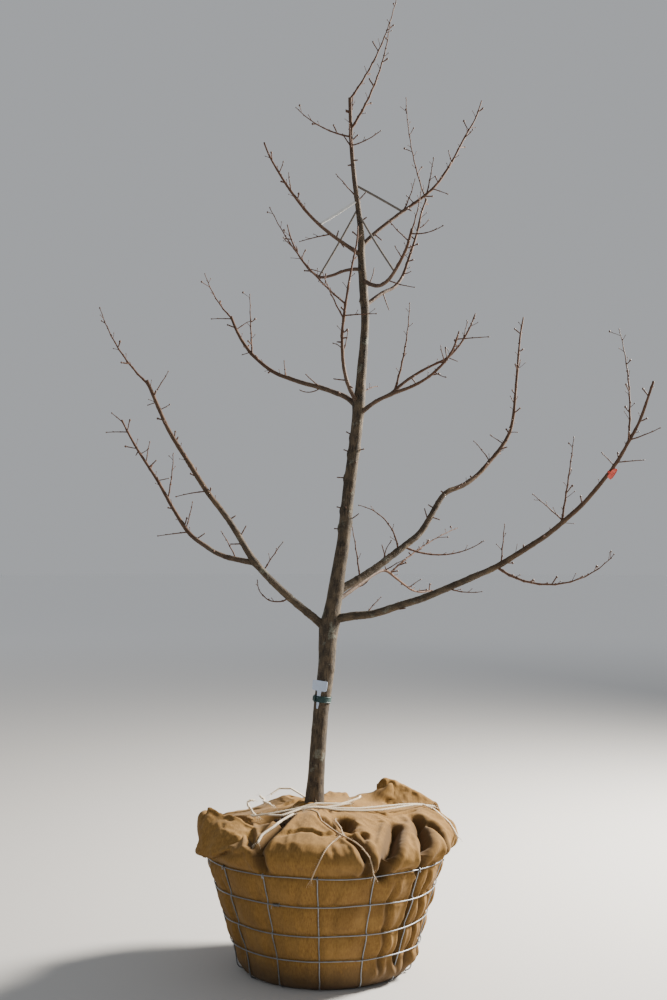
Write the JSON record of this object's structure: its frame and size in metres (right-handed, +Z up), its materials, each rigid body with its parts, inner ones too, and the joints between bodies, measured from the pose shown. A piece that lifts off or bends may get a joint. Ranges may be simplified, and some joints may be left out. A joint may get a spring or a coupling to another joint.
{
  "type": "balled and burlapped sapling tree",
  "caption": "Bare young tree with a leaning tapered trunk and upswept boughs in tiers, standing on a root ball wrapped in burlap, twine and a wire basket.",
  "frame": {"origin": "centre of the root ball's flat underside", "axes": "+Z up to the tip of the leader, +X to the right in the picture, +Y away from the viewer"},
  "size_m": [1.9395, 0.9415, 3.5672],
  "materials": {
    "trunk_bark": "matte",
    "bough_bark": "matte",
    "twig_bark": "satin",
    "lone_twig_bark": "satin",
    "burlap": "matte",
    "wire": "satin",
    "twine": "matte",
    "lath": "matte",
    "label": "satin",
    "strap": "satin",
    "tape": "satin"
  },
  "bodies": {
    "root": {"bough_high_front": "bough_bark", "bough_high_left": "bough_bark", "bough_high_left_low": "bough_bark", "bough_high_right": "bough_bark", "bough_high_right_steep": "bough_bark", "bough_low_back": "bough_bark", "bough_low_left": "bough_bark", "bough_low_left_fork": "bough_bark", "bough_low_right": "bough_bark", "bough_low_right_rising": "bough_bark", "bough_mid_left": "bough_bark", "bough_mid_right": "bough_bark", "bough_mid_right_fork": "bough_bark", "bough_mid_upright": "bough_bark", "label_strap": "strap", "marking_tape": "tape", "name_label": "label", "root_ball": "burlap", "spreader_high_front": "lath", "spreader_high_left": "lath", "spreader_high_left_low": "lath", "spreader_high_right": "lath", "trunk": "trunk_bark", "twig_high_front_1": "lone_twig_bark", "twig_high_left_1": "lone_twig_bark", "twig_high_right_1": "lone_twig_bark", "twig_leader_1": "lone_twig_bark", "twig_leader_2": "lone_twig_bark", "twig_low_left_1": "lone_twig_bark", "twig_low_left_2": "lone_twig_bark", "twig_low_left_fork_1": "lone_twig_bark", "twig_low_right_1": "lone_twig_bark", "twig_low_right_2": "lone_twig_bark", "twig_low_right_rising_1": "lone_twig_bark", "twig_low_right_rising_2": "lone_twig_bark", "twig_low_right_rising_3": "lone_twig_bark", "twig_low_right_rising_4": "lone_twig_bark", "twig_mid_right_fork_1": "lone_twig_bark", "twigs_high_front": "twig_bark", "twigs_high_left": "twig_bark", "twigs_high_left_low": "twig_bark", "twigs_high_right": "twig_bark", "twigs_high_right_steep": "twig_bark", "twigs_leader": "twig_bark", "twigs_low_back": "twig_bark", "twigs_low_left": "twig_bark", "twigs_low_left_fork": "twig_bark", "twigs_low_right": "twig_bark", "twigs_low_right_rising": "twig_bark", "twigs_mid_left": "twig_bark", "twigs_mid_right": "twig_bark", "twigs_mid_right_fork": "twig_bark", "twigs_mid_upright": "twig_bark", "twine_front": "twine", "twine_left": "twine", "twine_over": "twine", "twine_right": "twine", "wire_basket": "wire"}
  },
  "joints": []
}
